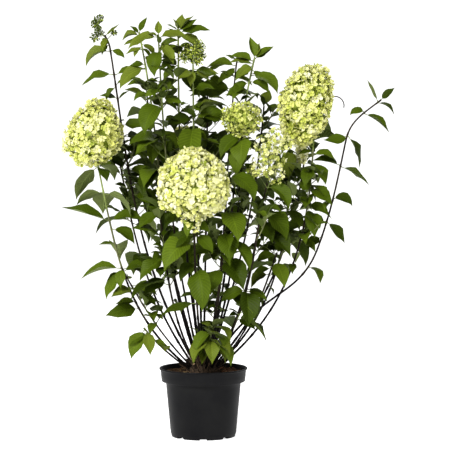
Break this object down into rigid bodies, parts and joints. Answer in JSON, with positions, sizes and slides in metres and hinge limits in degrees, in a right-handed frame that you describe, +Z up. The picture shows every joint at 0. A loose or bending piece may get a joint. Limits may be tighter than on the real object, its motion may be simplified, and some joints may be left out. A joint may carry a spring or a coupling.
{
  "type": "panicle hydrangea in a pot",
  "caption": "Panicle hydrangea shrub of many canes with opposite leaves and large lime and cream flower heads, growing in a round black nursery pot.",
  "frame": {"origin": "the middle of the flat underside of the pot", "axes": "+Z up along the pot's axis; +X to the right in the picture's view, towards the long arching cane; +Y away from the side with the large low flower head"},
  "size_m": [0.8611, 0.6363, 1.1017],
  "materials": {
    "pot": "matte black",
    "soil": "rough bark compost",
    "stool": "rough bark",
    "cane": "fine bark",
    "foliage": "satin leaf"
  },
  "bodies": {
    "root": {"pot": "pot", "soil": "soil", "stool": "stool", "cane_back_bloom": "cane", "cane_back_far_left": "cane", "cane_back_far_right": "cane", "cane_back_left": "cane", "cane_back_low": "cane", "cane_back_right": "cane", "cane_bud_top": "cane", "cane_front_bloom": "cane", "cane_front_leafy": "cane", "cane_front_left": "cane", "cane_left_bloom": "cane", "cane_left_foot": "cane", "cane_left_low": "cane", "cane_left_spire": "cane", "cane_loose_bloom": "cane", "cane_low_front": "cane", "cane_middle_bloom": "cane", "cane_right_bloom": "cane", "cane_right_front": "cane", "cane_right_inner": "cane", "cane_right_low": "cane", "cane_right_whip": "cane", "cane_top_back": "cane", "cane_top_left": "cane", "cane_top_left_front": "cane", "cane_top_middle": "cane", "cane_top_right": "cane", "cane_top_right_back": "cane", "foliage_back_bloom": "foliage", "foliage_back_far_left": "foliage", "foliage_back_far_right": "foliage", "foliage_back_left": "foliage", "foliage_back_low": "foliage", "foliage_back_right": "foliage", "foliage_bud_top": "foliage", "foliage_front_bloom": "foliage", "foliage_front_leafy": "foliage", "foliage_front_left": "foliage", "foliage_left_bloom": "foliage", "foliage_left_foot": "foliage", "foliage_left_low": "foliage", "foliage_left_spire": "foliage", "foliage_loose_bloom": "foliage", "foliage_low_front": "foliage", "foliage_middle_bloom": "foliage", "foliage_right_bloom": "foliage", "foliage_right_front": "foliage", "foliage_right_inner": "foliage", "foliage_right_low": "foliage", "foliage_right_whip": "foliage", "foliage_top_back": "foliage", "foliage_top_left": "foliage", "foliage_top_left_front": "foliage", "foliage_top_middle": "foliage", "foliage_top_right": "foliage", "foliage_top_right_back": "foliage"}
  },
  "joints": []
}
